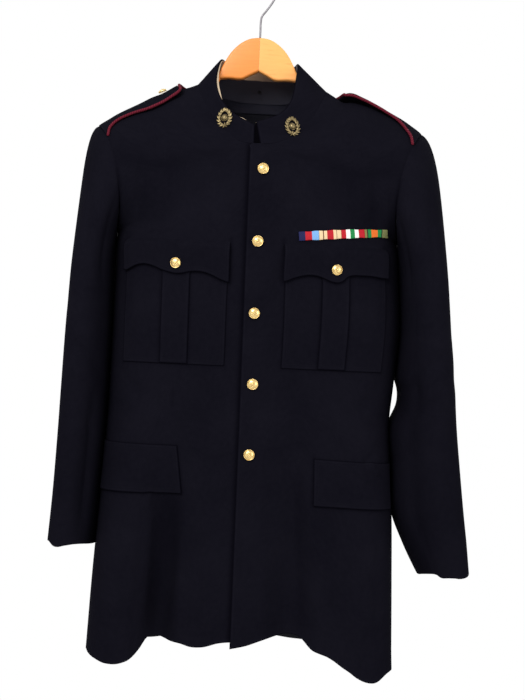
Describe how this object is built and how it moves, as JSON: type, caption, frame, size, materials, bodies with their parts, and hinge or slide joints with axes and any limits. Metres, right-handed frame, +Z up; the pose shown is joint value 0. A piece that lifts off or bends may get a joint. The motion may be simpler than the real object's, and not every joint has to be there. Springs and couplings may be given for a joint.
{
  "type": "military dress tunic on a wooden hanger",
  "caption": "Long navy dress tunic with a stand collar, patch pockets, gilt buttons, piped shoulder straps and a ribbon bar, hanging on a wooden coat hanger.",
  "frame": {"origin": "inside top of the hook's crook, where the hanger hangs on its rail", "axes": "+Z up, -Y out of the tunic's front, +X towards the wearer's left"},
  "size_m": [0.6125, 0.1867, 1.0313],
  "materials": {
    "navy_wool": "very dark navy wool, close smooth nap with a slight sheen",
    "pale_lining": "tan lining cloth",
    "dark_lining": "charcoal lining cloth",
    "red_piping": "deep red corded piping",
    "gilt": "bright gilt, polished relief",
    "antique_brass": "darkened brass, worn high spots",
    "warm_wood": "varnished, warm orange",
    "pale_wood": "varnished, yellower",
    "steel_wire": "plated wire, dulled",
    "ribbon_1": "woven striped ribbon",
    "ribbon_2": "woven striped ribbon",
    "ribbon_3": "woven striped ribbon",
    "ribbon_4": "woven striped ribbon"
  },
  "bodies": {
    "root": {"back_left": "navy_wool", "back_neck_facing": "dark_lining", "back_right": "navy_wool", "box_pleat_left": "navy_wool", "box_pleat_right": "navy_wool", "breast_flap_left": "navy_wool", "breast_flap_right": "navy_wool", "breast_pocket_left": "navy_wool", "breast_pocket_right": "navy_wool", "collar": "navy_wool", "collar_badge_left": "antique_brass", "collar_badge_right": "antique_brass", "collar_lining": "pale_lining", "front_button_1": "gilt", "front_button_2": "gilt", "front_button_3": "gilt", "front_button_4": "gilt", "front_button_5": "gilt", "front_left": "navy_wool", "front_right": "navy_wool", "hanger_arm_left": "pale_wood", "hanger_arm_right": "warm_wood", "hanger_hook": "steel_wire", "lower_flap_left": "navy_wool", "lower_flap_right": "navy_wool", "pocket_button_left": "gilt", "pocket_button_right": "gilt", "ribbon_1": "ribbon_1", "ribbon_2": "ribbon_2", "ribbon_3": "ribbon_3", "ribbon_4": "ribbon_4", "shoulder_strap_left": "navy_wool", "shoulder_strap_right": "navy_wool", "sleeve_top_left": "navy_wool", "sleeve_top_right": "navy_wool", "sleeve_under_left": "navy_wool", "sleeve_under_right": "navy_wool", "strap_button_left": "gilt", "strap_button_right": "gilt", "strap_piping_left": "red_piping", "strap_piping_right": "red_piping"}
  },
  "joints": []
}
